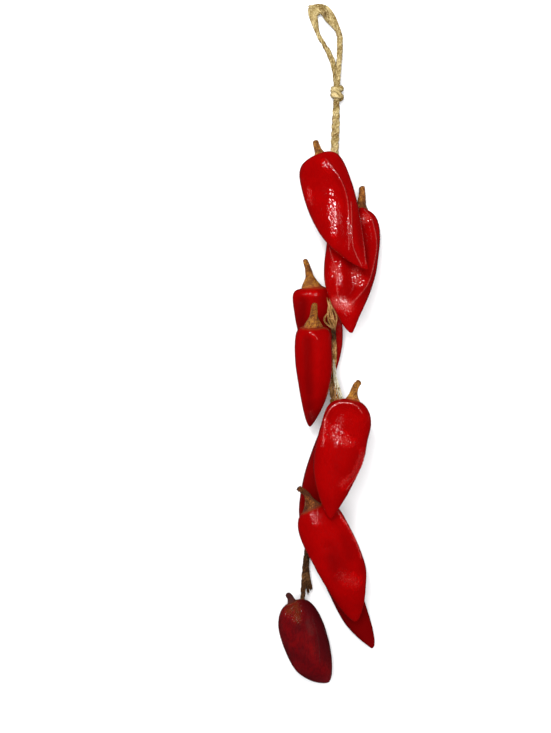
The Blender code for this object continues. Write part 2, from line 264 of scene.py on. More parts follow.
# Crests are sharp lines along a skin, each in a shallow trough: places, height, trough depth.
# Folds are broad swells and hollows: places, height, width.
# Spots are crinkled and glossy; scuffs are rougher with a painted pale sheen, partly real wear; dim places
# get painted shade: places, reach, amount.
# deepest is the trough depth at which painted shade is full; the thin pale lines along crests are a painted
# highlight.
creaseLook = {
    "troughWidth": 4.5, "wobble": 0.2, "endRise": 10, "deepest": 5, "shine": 2.4, "shineShare": 0.9,
    "crestSheenWidth": 0.8, "crestSheenShare": 0.82, "sideGloss": 2.2, "sideFall": 3,
}
plainPepper = {
    "crinkle": 0.5, "size": 2.4, "edge": 1.2, "patches": 0.6, "dents": 0.4, "deep": 0.0,
    "crests": [], "folds": [], "spots": [], "scuffs": [], "dim": [],
}
peppers = [
    {
        "patches": 0.5,
        "crests": [
            ([(-5, 200), (2, 191), (9, 181), (15.5, 165), (18.5, 148), (19.3, 130), (19, 100)], 1.5, 1.1),
            ([(22, 152), (22, 143), (22.6, 110), (26, 96), (33, 82)], 1.6, 0.5),
            ([(30, 155), (32, 139), (35.5, 105), (37, 84)], 0.9, 0.9),
        ],
        "folds": [
            ([(-7, 146), (-4, 126), (3, 104)], 1.2, 6.0),
            ([(-8, 201), (-3, 195)], 1.2, 3.4),
        ],
        "spots": [
            ([(1.5, 152), (1.5, 140), (3, 117)], 4.6, 1), ([(0, 166), (1, 160)], 2.6, 0.8),
            ([(-7, 196), (-1, 187)], 4, 1), ([(-23, 166), (-22, 156)], 3.4, 1),
        ],
        "scuffs": [([(-24, 169), (-22, 158), (-20, 150)], 2.4, 0.5)],
        "dim": [([(27, 175), (30, 140), (32, 105)], 5, 0.35), ([(14, 140), (13, 110)], 5, 0.2)],
    },
    {
        "crinkle": 0.6, "size": 2.1, "patches": 0.5, "dents": 0.5,
        "crests": [
            ([(0, 104), (4, 88), (7.2, 79), (7.4, 57), (10, 44)], 1.4, 0.7),
            (
                [(38, 145), (45, 133), (48.5, 107), (43.4, 79), (37.6, 62.6), (28.6, 49.3), (18.5, 34)],
                1.5, 0.3,
            ),
        ],
        "folds": [
            ([(28, 104), (24, 85), (20, 66), (17, 52)], -1.8, 8.0),
            ([(36, 146), (44, 132), (47.5, 110), (43.5, 84), (37, 64), (28, 48)], 3.4, 6.0),
            ([(35, 138), (39, 124), (41, 106), (36.5, 84), (30, 66), (22, 52)], -1.4, 4.0),
        ],
        "spots": [
            ([(5, 84), (8, 70)], 7, 1), ([(28, 78), (31, 66)], 7.5, 0.8), ([(6, 43), (17, 37)], 8, 1),
            ([(38.6, 136)], 8, 0.85), ([(8, 60)], 5, 0.8),
        ],
        "scuffs": [
            ([(5, 82), (8, 72)], 6, 0.7), ([(27, 78), (31, 66)], 8, 0.6), ([(8, 44), (18, 40)], 9, 0.85),
            ([(38.6, 136)], 7, 0.7),
        ],
        "dim": [([(34, 125), (37, 105)], 7, 0.3)],
    },
    {
        "crinkle": 0.42, "size": 2.2,
        "folds": [
            ([(-30, 45), (-32, 25), (-28, 12)], -2.4, 5.0),
            ([(-32, 52), (-22, 54), (-10, 52)], 1.3, 4.5),
        ],
        "spots": [([(-29, 54), (-13, 54)], 4, 0.75), ([(10, 20), (12, -40)], 7, 0.6)],
        "scuffs": [([(9, 25), (13, 0), (12, -30)], 8, 0.35)],
        "dim": [
            ([(-31, 42), (-32, 25), (-28, 0)], 9, 0.9), ([(-8, 48), (-5, 20)], 8, 0.7),
            ([(10, 20), (10, -40)], 12, 0.35),
        ],
    },
    {
        "crinkle": 0.22, "patches": 0.62, "dents": 0.3,
        "crests": [([(-21, 9), (-17, 7), (-14.5, 3)], 0.5, 0.1)],
        "folds": [
            ([(-25, 4), (-25, -24), (-24, -56)], -2.2, 5.5),
            ([(-13, -8), (-14, -30), (-16, -60)], 0.8, 6.0),
        ],
        "spots": [([(-22, 10), (-14, 4)], 4, 0.6), ([(-24, -82)], 10, 0.8)],
        "scuffs": [([(-21, -76), (-17, -84)], 5, 0.4)],
        "dim": [
            ([(-26, 2), (-25.5, -25), (-24, -55), (-22, -78)], 6.5, 0.75),
            ([(-21, -80), (-19, -90)], 9, 1.0),
        ],
    },
    {
        "crinkle": 0.8, "size": 2.0, "edge": 0.8,
        "crests": [
            (
                [(-7, -90), (-5, -80), (-1, -72), (4, -67.5), (10, -65), (21, -65.5), (29, -69), (34, -76)],
                1.3, 0.4,
            ),
            ([(-8, -112), (-7, -92), (-5, -80)], 0.9, 0.4),
            ([(34, -118), (31, -132), (25, -146), (16, -158)], 1.0, 0.4),
        ],
        "folds": [
            ([(-4, -74), (12, -70), (30, -74)], -0.9, 12.0),
            ([(5, -116), (24, -120)], 3.0, 18.0),
        ],
        "spots": [
            ([(4, -94), (9, -101), (19, -107)], 8, 1), ([(33, -118), (27, -140), (14, -154)], 6, 1),
            ([(-5, -85), (-7, -105)], 4, 0.9),
        ],
        "scuffs": [([(2, -102), (16, -107)], 8, 0.5), ([(31, -120), (24, -140), (10, -152)], 5, 0.5)],
        "dim": [([(10, -165)], 9, 0.25)],
    },
    # this pepper lies behind the others and is painted with shade all over
    {"crinkle": 0.12, "size": 2.6, "deep": 0.7},
    {
        "crinkle": 0.95, "size": 2.0, "edge": 0.8, "dents": 0.45,
        "crests": [
            ([(8, -184), (12.5, -191.5), (19, -201.5), (24, -211), (28, -220), (33, -235)], 1.3, 0.4),
            ([(-14, -181), (-14.5, -196)], 0.8, 0.3),
        ],
        "folds": [
            ([(0, -222), (7, -238), (14, -250)], -2.0, 9.0),
            ([(18, -272), (26, -284)], 1.8, 13.0),
            ([(15, -194), (24, -211), (31, -227)], 0.7, 5.5),
            ([(5, -192), (13, -206), (20, -220)], -1.2, 6.0),
        ],
        "spots": [
            ([(-20, -184), (-16, -194)], 5, 1), ([(14, -254), (26, -260)], 11, 0.9),
            ([(10, -187), (19, -202), (28, -220), (32, -234)], 2.2, 0.7),
        ],
        "scuffs": [([(12, -254), (26, -260)], 9, 0.4), ([(-20, -184), (-16, -194)], 4, 0.5)],
        "dim": [([(0, -232), (8, -252)], 8, 0.6), ([(14, -210), (20, -232)], 7, 0.35)],
    },
    # this pepper lies behind the others and is painted with shade all over
    {"crinkle": 0.14, "size": 2.6, "deep": 1.0},
    {
        "crinkle": 0.85, "size": 2.0, "patches": 0.45, "dents": 0.8,
        "crests": [([(-20, -300), (-13, -325), (-11, -350)], 0.6, 0.4)],
        "folds": [([(-26, -296), (-27, -315), (-30, -335)], -1.2, 5.0)],
        "spots": [([(-45, -295), (-37, -290), (-36, -303)], 7, 1)],
        "scuffs": [([(-24, -307), (-20, -318)], 5, 0.9), ([(-15, -326), (-17, -340)], 5, 0.5)],
        "dim": [
            ([(-27, -288), (-18, -296), (-10, -314), (-6, -345)], 10, 0.95), ([(-34, -312)], 6, 0.4),
            ([(-26, -345)], 8, 0.3),
        ],
    },
]


def mergedMesh(node, name):  # a copy of a CAD node's mesh with its points merged and its triangles paired
    form = bmesh.new()
    form.from_mesh(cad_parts[node].data)
    bmesh.ops.remove_doubles(form, verts=form.verts, dist=1e-5)
    bmesh.ops.join_triangles(
        form, faces=form.faces, angle_face_threshold=math.pi, angle_shape_threshold=math.pi,
    )
    mesh = bpy.data.meshes.new(name)
    form.to_mesh(mesh)
    form.free()
    mesh.shade_smooth()
    return mesh


def fineCopy(node, name, levels):
    obj = placed(name, mergedMesh(node, name))
    finer = obj.modifiers.new("finer", "SUBSURF")
    finer.levels = levels
    finer.render_levels = levels
    return settle(obj)


def vectors(data, name):
    found = np.empty(len(data) * 3, np.float32)
    data.foreach_get(name, found)
    return found.reshape(-1, 3).astype(float)


def points(mesh):
    return vectors(mesh.vertices, "co")


def normals(mesh):
    return vectors(mesh.vertex_normals, "vector")


def movePoints(mesh, where):
    mesh.vertices.foreach_set("co", where.astype(np.float32).ravel())
    mesh.update()


def setValues(mesh, name, values):
    spot = mesh.attributes.get(name) or mesh.attributes.new(name, "FLOAT", "POINT")
    spot.data.foreach_set("value", values.astype(np.float32))


def lineDistance(flat, line):  # distance in plan from points to a line, and the share along it
    line = np.array(line, float)
    if len(line) == 1:
        return np.linalg.norm(flat - line[0], axis=1), np.full(len(flat), 0.5)
    lengths = np.linalg.norm(np.diff(line, axis=0), axis=1)
    starts = np.concatenate([[0], np.cumsum(lengths)])
    best = np.full(len(flat), 1e9)
    share = np.zeros(len(flat))
    for a, b, length, start in zip(line, line[1:], lengths, starts):
        along = np.clip((flat - a) @ (b - a) / length ** 2, 0, 1)
        distance = np.linalg.norm(flat - (a + along[:, None] * (b - a)), axis=1)
        closer = distance < best
        best[closer] = distance[closer]
        share[closer] = (start + along[closer] * length) / starts[-1]
    return best, share


def smoothLine(line, steps=8):  # a Catmull-Rom curve through the places of a line
    line = [np.array(place, float) for place in line]
    if len(line) < 3:
        return line
    line = [line[0] * 2 - line[1], *line, line[-1] * 2 - line[-2]]
    fine = []
    for a, b, c, d in zip(line, line[1:], line[2:], line[3:]):
        for t in np.arange(steps) / steps:
            fine.append((b * 2 + (c - a) * t + (a * 2 - b * 5 + c * 4 - d) * t ** 2
                         + (b * 3 - a - c * 3 + d) * t ** 3) / 2)
    fine.append(line[-2])
    return fine


def creaseHeights(mesh, look):
    where = points(mesh) / mm
    facing = np.clip(normals(mesh)[:, 2] * 2, 0, 1)
    wobble = np.sin(where[:, 1:2] * 1.1 + 2 * np.sin(where[:, 1:2] * 0.37)) * creaseLook["wobble"]
    height = np.zeros(len(where))
    for line, crest, trough in look["crests"]:
        distance, share = lineDistance(where[:, :2] + wobble, smoothLine(line))
        ends = np.clip(np.minimum(share, 1 - share) * creaseLook["endRise"], 0, 1)
        profile = crest * np.exp(-distance / look["edge"])
        profile -= trough * np.exp(-((distance / creaseLook["troughWidth"]) ** 2))
        height += profile * ends * facing
    for line, rise, width in look["folds"]:
        distance, _ = lineDistance(where[:, :2], smoothLine(line))
        height += rise * np.exp(-((distance / width) ** 2)) * facing
    return height


def spotValues(mesh, spots):  # an amount along each listed line, fading over its reach
    where = points(mesh)[:, :2] / mm
    value = np.zeros(len(where))
    for line, reach, amount in spots:
        distance, _ = lineDistance(where, smoothLine(line))
        value = np.maximum(value, amount * np.exp(-((distance / reach) ** 2)))
    return value * np.clip(normals(mesh)[:, 2] * 2 + 0.4, 0, 1)


def pressDown(obj, low=0.8 * mm):  # squeezes what dips under the floor into the last bit above it
    where = points(obj.data)
    under = where[:, 2] < low
    where[under, 2] = low * np.exp(where[under, 2] / low - 1)
    movePoints(obj.data, where)


def treeOf(mesh):
    return BVHTree.FromPolygons([v.co for v in mesh.vertices], [p.vertices for p in mesh.polygons])


# How far from its calyx a skin is looked at, stained and kept smooth, in millimetres.
calyxReach = {"search": 30, "stainStart": 1.4, "stainFade": 2.6, "calmStart": 1.2, "calmFade": 3.0}


def makeSkin(number, look, material):
    skin = fineCopy(f"pepper_{number}", f"skin_{number}", 4)
    mesh = skin.data
    where = points(mesh)
    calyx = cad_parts[f"stem_{number}"].data
    stem = treeOf(calyx)
    far = calyxReach["search"] * mm
    near = np.array([stem.find_nearest(Vector(place), far)[3] or far for place in where]) / mm
    darkened = np.maximum(near - calyxReach["stainStart"], 0) / calyxReach["stainFade"]
    setValues(mesh, "nearStem", np.exp(-darkened))
    calm = np.maximum(near - calyxReach["calmStart"], 0) / calyxReach["calmFade"]
    setValues(mesh, "calm", np.exp(-calm))
    stemMiddle = np.mean(points(calyx), axis=0)
    reach = np.linalg.norm(where - stemMiddle, axis=1)
    setValues(mesh, "along", reach / reach.max())
    height = creaseHeights(mesh, look)
    setValues(mesh, "crease", height)
    # painted shade: darker in crease troughs, at the listed shaded places, and all over a pepper lying
    # behind others
    dim = np.maximum(spotValues(mesh, look["dim"]), look["deep"])
    setValues(mesh, "hollow", np.clip(np.maximum(-height / creaseLook["deepest"], dim), 0, 1))
    spot = spotValues(mesh, look["spots"])
    setValues(mesh, "spot", spot)
    crests = [line for line, _, _ in look["crests"]]
    shine = spotValues(mesh, [(line, creaseLook["shine"], creaseLook["shineShare"]) for line in crests])
    sides = np.clip(creaseLook["sideGloss"] - normals(mesh)[:, 2] * creaseLook["sideFall"], 0, 1)
    setValues(mesh, "gloss", np.maximum(np.maximum(spot, shine), sides))
    # painted highlight: a thin pale line along each crest
    crestSheen = [(line, creaseLook["crestSheenWidth"], creaseLook["crestSheenShare"]) for line in crests]
    setValues(mesh, "scuff", spotValues(mesh, look["scuffs"] + crestSheen))
    return applyTree(skin, skinTree, {
        "Crinkle": look["crinkle"], "Crinkle Size": look["size"], "Patches": look["patches"],
        "Dents": look["dents"], "Seed": number, "Material": material,
    })


# How often each noise of the skin turns over in a millimetre.
skinGrain = {"broad": 0.03, "fine": 0.6, "warp": 0.08, "speck": 0.9, "grain": 1.6, "flecks": 0.7}
# How much a noise breaks the edge of each finish, and where the finish starts and is full.
skinEdges = {
    "tip": (0.1, 0.86, 1.0), "stain": (0.5, 0.25, 0.95), "rust": (2.4, 0.6, 1.2),
    "scuff": (1.8, 0.35, 1.1), "lacquer": (1.3, 0.4, 0.7),
}


def skinMaterial(name, look):
    made, g, shader = startMaterial(name)
    place = g.place()
    broad = g.noise(place, skinGrain["broad"], 3.0, 0.55)
    fine = g.noise(place, skinGrain["fine"], 3.0, 0.6)
    warp = g.noise(place, skinGrain["warp"], 2.0, 0.5, 1)
    red = g.ramp(broad * 0.8 + fine * 0.2, look["reds"])
    # painted shade: the skin takes the darkest red where its fine crinkle lies low
    red = g.mix(g.step(g.painted("crinkle"), 0.9, 0.2) * 0.35, red, look["fold"])
    drawn = g.vector("MULTIPLY", g.vector("ADD", place, g.scaled(warp, 9.0)), (0.55, 0.16, 0.4))
    streak = g.noise(drawn, 1.0, 3.0, 0.6)
    red = g.mix(g.step(streak, 0.42, 0.62) * look["streaks"], red, look["fold"])
    # painted shade from the mesh: crease troughs, shaded places and shaded peppers
    red = g.mix(g.painted("hollow") * 0.85, red, look["fold"])
    tip = g.broken(g.painted("along"), fine, *skinEdges["tip"])
    red = g.mix(tip * look["tipShare"], red, look["tip"])
    stain = g.broken(g.painted("nearStem"), fine, *skinEdges["stain"])
    red = g.mix(stain * look["stainShare"], red, look["stain"])
    speck = g.noise(place, skinGrain["speck"], 2.0, 0.7)
    rust = g.broken(g.painted("spot"), speck, *skinEdges["rust"])
    red = g.mix(rust * look["rustShare"], red, look["rust"])
    # painted sheen: a pale pinkish colour where the skin is also rougher, partly real wear
    scuff = g.broken(g.painted("scuff"), speck, *skinEdges["scuff"])
    red = g.mix(scuff * look["sheenAndWearShare"], red, look["scuff"])
    bump = g.bump(g.noise(place, skinGrain["grain"], 3.0, 0.6), look["bump"])
    flecks = g.noise(place, skinGrain["flecks"], 2.0, 0.6)
    lacquer = g.broken(g.painted("gloss"), flecks, *skinEdges["lacquer"]) * look["lacquer"]
    rough = look["rough"] + (fine - 0.5) * 0.08 + stain * 0.3 + scuff * 0.25
    plug(
        g, shader, Base_Color=red, Roughness=rough, Specular_IOR_Level=look["specular"],
        Coat_Weight=lacquer, Coat_Roughness=look["lacquerRough"], Normal=bump,
    )
    return made


# The darkest red serves both for real dark streaks and for painted shade; the pinkish colour is a painted
# pale sheen.
skinLook = {
    "reds": [(0.3, (0.22, 0.0003, 0.0005)), (0.55, (0.28, 0.0004, 0.0005)), (0.75, (0.34, 0.0006, 0.0005))],
    "fold": (0.08, 0.0006, 0.0008), "streaks": 0.12, "tip": (0.15, 0.001, 0.002), "tipShare": 0.15,
    "stain": (0.16, 0.03, 0.008), "stainShare": 0.6, "rust": (0.3, 0.01, 0.01), "rustShare": 0.0,
    "scuff": (0.4, 0.07, 0.06), "sheenAndWearShare": 0.6,
    "bump": 0.1, "rough": 0.12, "specular": 0.012, "lacquer": 0.9, "lacquerRough": 0.07,
}
darkLook = {
    "reds": [(0.36, (0.07, 0.001, 0.002)), (0.5, (0.12, 0.001, 0.002)), (0.64, (0.17, 0.002, 0.002))],
    "fold": (0.035, 0.0015, 0.0025), "streaks": 0.45, "tip": (0.1, 0.004, 0.007), "tipShare": 0.5,
    "stain": (0.16, 0.045, 0.015), "stainShare": 0.8, "rust": (0.07, 0.018, 0.003), "rustShare": 0.75,
    "scuff": (0.05, 0.011, 0.01), "sheenAndWearShare": 0.5,
    "bump": 0.3, "rough": 0.34, "specular": 0.035, "lacquer": 0.4, "lacquerRough": 0.07,
}

redSkin = skinMaterial("redSkin", skinLook)
darkSkin = skinMaterial("darkSkin", darkLook)
skins = []
for number, look in enumerate(peppers, 1):
    material = darkSkin if number == len(peppers) else redSkin
    skins.append(makeSkin(number, {**plainPepper, **look}, material))
print("skins made")

stalkLook = {
    "levels": 3, "rough": 0.22, "size": 1.1, "rim": 1.9, "fade": 6.0, "sunk": 0.25, "lobes": 1.2,
    "speckle": 0.95, "patches": 0.12,
}
stalkSwell = {1: 0.3, 2: 1.4}  # how much thicker some stalks are above the calyx, in millimetres
calyxSpread = {3: -1.0, 4: -2.4}  # how far a rim is drawn in, where it isn't the usual amount


def makeStemTree():
    tree, g, given = startTree("flockedStem", {"Grain": 0.2, "Grain Size": 1.1, "Lumps": 0.3, "Seed": 0})
    place = g.vector("ADD", g.scaled(g.add("GeometryNodeInputPosition"), 1 / mm),
                     g.combine(given["Seed"] * 7.7, 0.0, given["Seed"] * 3.3))
    cells = g.add("ShaderNodeTexVoronoi", {"feature": "SMOOTH_F1"},
                  {"Vector": place, "Scale": 1.0 / given["Grain Size"], "Smoothness": 0.3})
    lumps = g.noise(place, 0.16, 2.0)
    height = (0.45 - cells) * given["Grain"] + (lumps - 0.5) * 2 * given["Lumps"]
    offset = g.scaled(g.add("GeometryNodeInputNormal"), height * mm * (1 - named(g, "rim")))
    moved = shifted(g, given["Geometry"], offset)
    endTree(g, stored(g, moved, "grain", cells), given["Material"])
    return tree


def drape(stem, skin, seed):  # lays the calyx on the fine skin and spreads its rim into low lobes
    mesh = stem.data
    where = points(mesh)
    share = (where[:, 1].max() - where[:, 1]) / np.ptp(where[:, 1])
    where += normals(mesh) * (np.clip(share * 1.4, 0, 1) * stalkSwell.get(seed, 0.0) * mm)[:, None]
    surface = treeOf(skin.data)
    centre = where.mean(axis=0)
    dice = random.Random(seed)
    phase = dice.uniform(0, 2 * math.pi)
    spread = calyxSpread.get(seed, stalkLook["lobes"])
    rim = np.zeros(len(where))
    for i, place in enumerate(where):
        spot, normal, _, _ = surface.find_nearest(Vector(place))
        height = (Vector(place) - spot).dot(normal) / mm
        rise = max(0.0, min(1.0, (height - stalkLook["rim"]) / stalkLook["fade"]))
        keep = rise * rise * (3 - 2 * rise)
        rim[i] = 1 - keep
        out = Vector(place - centre)
        out -= normal * out.dot(normal)
        angle = math.atan2(out.x, out.y + 1e-9)
        broad = 0.3 * math.cos(5 * angle + phase)
        small = 0.2 * math.cos(8 * angle + 2 * phase)
        lobe = 0.5 + broad + small
        moved = Vector(place) + out.normalized() * spread * lobe * rim[i] ** 3 * mm
        spot, normal, _, _ = surface.find_nearest(moved)
        height = (moved - spot).dot(normal) / mm
        drop = (stalkLook["rim"] - stalkLook["sunk"]) * rim[i]
        where[i] = spot + normal * (height - drop) * mm
    movePoints(mesh, where)
    setValues(mesh, "rim", rim)


def stemMaterial(name, look):
    made, g, shader = startMaterial(name)
    place = g.place()
    speckle = g.noise(place, stalkLook["speckle"], 3.0, 0.75)
    patches = g.noise(place, stalkLook["patches"], 2.0)
    brown = g.ramp(speckle * 0.7 + patches * 0.3, look["browns"])
    # painted shade: darker in the pits of the grain
    brown = g.mix(g.step(g.painted("grain"), 0.45, 0.8) * 0.5, brown, look["deep"])
    blush = g.broken(g.painted("rim"), speckle, 0.4, 0.8, 1.05)
    brown = g.mix(blush * look["blushShare"], brown, look["blush"])
    plug(g, shader, Base_Color=brown, Roughness=0.72 + (speckle - 0.5) * 0.2, Specular_IOR_Level=0.25)
    return made


# From the palest stalks to the dark one at the bottom; the shaded ones are the same brown with painted
# shade.
stemLooks = {
    "stemBrown": {
        "browns": [
            (0.4, (0.02, 0.007, 0.0015)), (0.46, (0.12, 0.037, 0.004)), (0.52, (0.27, 0.096, 0.01)),
            (0.6, (0.52, 0.28, 0.045)),
        ],
        "deep": (0.09, 0.03, 0.012), "blush": (0.25, 0.03, 0.01), "blushShare": 0.5,
    },
    "stemShaded": {
        "browns": [
            (0.4, (0.02, 0.006, 0.0015)), (0.46, (0.09, 0.023, 0.003)), (0.52, (0.21, 0.062, 0.006)),
            (0.6, (0.46, 0.22, 0.03)),
        ],
        "deep": (0.05, 0.014, 0.007), "blush": (0.2, 0.02, 0.007), "blushShare": 0.5,
    },
    "stemShadedMore": {
        "browns": [
            (0.4, (0.016, 0.005, 0.002)), (0.47, (0.075, 0.018, 0.003)), (0.535, (0.17, 0.047, 0.006)),
            (0.62, (0.4, 0.17, 0.026)),
        ],
        "deep": (0.045, 0.012, 0.006), "blush": (0.18, 0.016, 0.005), "blushShare": 0.5,
    },
    "stemShadedMost": {
        "browns": [
            (0.4, (0.012, 0.004, 0.002)), (0.48, (0.06, 0.014, 0.003)), (0.55, (0.14, 0.034, 0.006)),
            (0.64, (0.34, 0.12, 0.022)),
        ],
        "deep": (0.04, 0.01, 0.005), "blush": (0.16, 0.012, 0.004), "blushShare": 0.5,
    },
    "stemDark": {
        "browns": [
            (0.36, (0.016, 0.003, 0.003)), (0.5, (0.045, 0.007, 0.006)), (0.66, (0.1, 0.026, 0.016)),
        ],
        "deep": (0.02, 0.004, 0.003), "blush": (0.07, 0.006, 0.004), "blushShare": 0.7,
    },
}
# the second, third, fourth and seventh stalks take painted shade; the ninth has its own dark colour
stemKinds = {2: "stemShadedMore", 3: "stemShaded", 4: "stemShaded", 7: "stemShadedMost", 9: "stemDark"}
stemMaterials = {name: stemMaterial(name, look) for name, look in stemLooks.items()}
stemTree = makeStemTree()
stems = []
for number, skin in enumerate(skins, 1):
    stem = fineCopy(f"stem_{number}", f"stalk_{number}", stalkLook["levels"])
    drape(stem, skin, number)
    stems.append(applyTree(stem, stemTree, {
        "Grain": stalkLook["rough"], "Grain Size": stalkLook["size"], "Seed": number,
        "Material": stemMaterials[stemKinds.get(number, "stemBrown")],
    }))
print("stalks made")


def makePlaitTree():  # strands plaited or twisted along a route, each of several yarns
    sizes = {
        "Strands": 3, "Yarns": 3, "Pitch": 18.0, "Spread": 0.27, "Depth": 0.2, "Flat": 1.0, "Twist": 9.0,
        "Yarn Spread": 0.12, "Yarn Radius": 0.13, "Step": 0.9, "Wander": 0.25, "Sides": 6, "Seed": 0,
    }
    tree, g, given = startTree("plait", sizes)
    even = g.add("GeometryNodeResampleCurve", {"mode": "LENGTH"},
                 {"Curve": given["Geometry"], "Length": given["Step"] * mm})
    route = stored(g, even, "along", g.add("GeometryNodeSplineParameter", {}, {}, 1) * (1 / mm))
    route = stored(g, route, "wide", g.add("GeometryNodeInputRadius"))
    route = stored(g, route, "tangent", g.add("GeometryNodeInputTangent"), "FLOAT_VECTOR")
    route = stored(g, route, "side", g.add("GeometryNodeInputNormal"), "FLOAT_VECTOR")
    copies = g.add("GeometryNodeDuplicateElements", {"domain": "SPLINE"},
                   {"Geometry": route, "Amount": given["Strands"] * given["Yarns"]}, None)
    geometry = Wire(tree, copies.outputs[0])
    geometry = stored(g, geometry, "yarn", Wire(tree, copies.outputs[1]))
    yarn = named(g, "yarn")
    strand = (yarn / given["Yarns"] + 0.001).apply("FLOOR")
    turn = 2 * math.pi
    along = named(g, "along")
    side = named(g, "side", "FLOAT_VECTOR")
    lift = g.vector("CROSS_PRODUCT", named(g, "tangent", "FLOAT_VECTOR"), side)
    wide = named(g, "wide")
    phase = (along / given["Pitch"] + strand / given["Strands"]) * turn
    across = phase.apply("SINE") * given["Spread"] * wide
    twice = phase * 2
    height = twice.apply("SINE") * given["Flat"] + phase.apply("COSINE") * (1 - given["Flat"])
    height = height * given["Depth"] * wide
    inner = (along / given["Twist"] + yarn / given["Yarns"]) * turn
    across = across + inner.apply("COSINE") * given["Yarn Spread"] * wide
    height = height + inner.apply("SINE") * given["Yarn Spread"] * wide
    offset = g.vector("ADD", g.scaled(side, across), g.scaled(lift, height))
    lie = g.add("ShaderNodeSeparateXYZ", {}, {"Vector": offset}, 2) / wide
    geometry = stored(g, geometry, "lie", lie)
    tangle = g.combine(along * 0.14, yarn * 3.1, given["Seed"] * 1.7)
    wander = g.noise(tangle, 1.0, 2.0, 0.5, 1)
    wander = g.scaled(g.vector("SUBTRACT", wander, (0.5, 0.5, 0.5)), given["Wander"] * 2 * mm)
    offset = g.vector("ADD", offset, wander)
    geometry = shifted(g, geometry, offset)
    uneven = g.noise(tangle, 2.6, 2.0)
    radius = given["Yarn Radius"] * wide * (0.75 + 0.5 * uneven)
    ring = g.add("GeometryNodeCurvePrimitiveCircle", {}, {"Resolution": given["Sides"], "Radius": 1.0})
    ring = stored(g, ring, "round", g.add("GeometryNodeSplineParameter"))
    endTree(g, swept(g, geometry, ring, radius), given["Material"])
    return tree


def makeFuzzTree():  # short loose fibres that stand out of a rope
    sizes = {"Density": 60000.0, "Length": 3.0, "Thickness": 0.05, "Seed": 0}
    tree, g, given = startTree("fuzz", sizes)
    spots = g.add("GeometryNodeDistributePointsOnFaces", {},
                  {"Mesh": given["Geometry"], "Density": given["Density"], "Seed": given["Seed"]}, None)
    hairReach = 1.6
    hair = g.add("GeometryNodeCurvePrimitiveBezierSegment", {}, {
        "Resolution": 4, "Start": (0, 0, 0), "Start Handle": (0, 0, 0.6 * mm),
        "End Handle": (0.7 * mm, 0, mm), "End": (hairReach * mm, 0.2 * mm, 0.9 * mm),
    })
    taper = (1.2 - g.add("GeometryNodeSplineParameter")) * given["Thickness"] * mm
    ring = g.add("GeometryNodeCurvePrimitiveCircle", {}, {"Resolution": 3, "Radius": 1.0})
    fibre = swept(g, hair, ring, taper)
    chance = g.add("FunctionNodeRandomValue", {"data_type": "FLOAT"}, {2: 0.3, 3: 1.0, "Seed": 3}, 1)
    turns = {0: (-0.9, -0.9, -3.1), 1: (0.9, 0.9, 3.1)}
    spin = g.add("FunctionNodeRandomValue", {"data_type": "FLOAT_VECTOR"}, turns, 0)
    turned = g.add("FunctionNodeRotateRotation", {"rotation_space": "LOCAL"},
                   {"Rotation": Wire(tree, spots.outputs["Rotation"]), "Rotate By": spin})
    size = chance * given["Length"] / hairReach
    hairs = g.add("GeometryNodeInstanceOnPoints", {}, {
        "Points": Wire(tree, spots.outputs["Points"]), "Instance": fibre, "Rotation": turned,
        "Scale": size,
    })
    real = g.add("GeometryNodeRealizeInstances", {}, {"Geometry": hairs})
    both = g.add("GeometryNodeJoinGeometry", {}, {}, None)
    tree.links.new(given["Geometry"].socket, both.inputs[0])
    tree.links.new(real.socket, both.inputs[0])
    endTree(g, Wire(tree, both.outputs[0]), given["Material"])
    return tree


plaitTree = makePlaitTree()
fuzzTree = makeFuzzTree()


def makeRoute(route):  # a curve through a list of x, y, z and the rope's width there
    fine = smoothLine(route)
    curve = bpy.data.curves.new("route", "CURVE")
    curve.dimensions = "3D"
    curve.twist_mode = "Z_UP"
    spline = curve.splines.new("POLY")
    spline.points.add(len(fine) - 1)
    for spot, (x, y, z, width) in zip(spline.points, fine):
        spot.co = (x * mm, y * mm, z * mm, 1)
        spot.radius = width * mm
    return placed("route", curve)


fibreGrain = {"along": 0.45, "around": 6.0, "grain": 0.75, "patches": 0.11}


def fibreMaterial(name, look):
    made, g, shader = startMaterial(name)
    place = g.place()
    along = g.painted("along")
    yarn = g.painted("yarn")
    drawn = g.combine(along * fibreGrain["along"], g.painted("round") * fibreGrain["around"], yarn * 5.3)
    fibres = g.noise(drawn, 1.0, 3.0, 0.65)
    grain = g.noise(place, fibreGrain["grain"], 2.0, 0.7)
    patches = g.noise(place, fibreGrain["patches"], 2.0)
    tan = g.ramp(fibres * 0.4 + grain * 0.35 + patches * 0.25, look["tans"])
    olive = g.step(g.noise(g.combine(along * 0.06, yarn * 7.1, 0.0), 1.0, 1.0), 0.46, 0.62)
    tan = g.mix(olive * look["oliveShare"], tan, look["olive"])
    # painted shade: yarns that lie low in the plait are darker
    low = g.broken(g.painted("lie"), fibres, 0.3, 0.05, -0.25)
    tan = g.mix(low * look["lowShadeShare"], tan, look["deep"])
    # painted shade: the rope is darker where its sides turn away from the light above
    side = g.broken(g.painted("sides"), grain, 0.8, 0.1, 0.9)
    tan = g.mix(side * look["sideShadeShare"], tan, look["side"])
    tan = g.mix(g.painted("warm") * look["warmShare"], tan, look["warm"], "MULTIPLY")
    # painted shade: where the shade value is high the fibres take these dark browns
    shadeColour = g.mix(g.step(fibres * 0.5 + grain * 0.5, 0.42, 0.62), look["shadeColour"], look["shadeFleck"])
    tan = g.mix(g.painted("shade"), tan, shadeColour)
    plug(g, shader, Base_Color=tan, Roughness=0.8, Specular_IOR_Level=0.2, Normal=g.bump(fibres, 0.6))
    return made


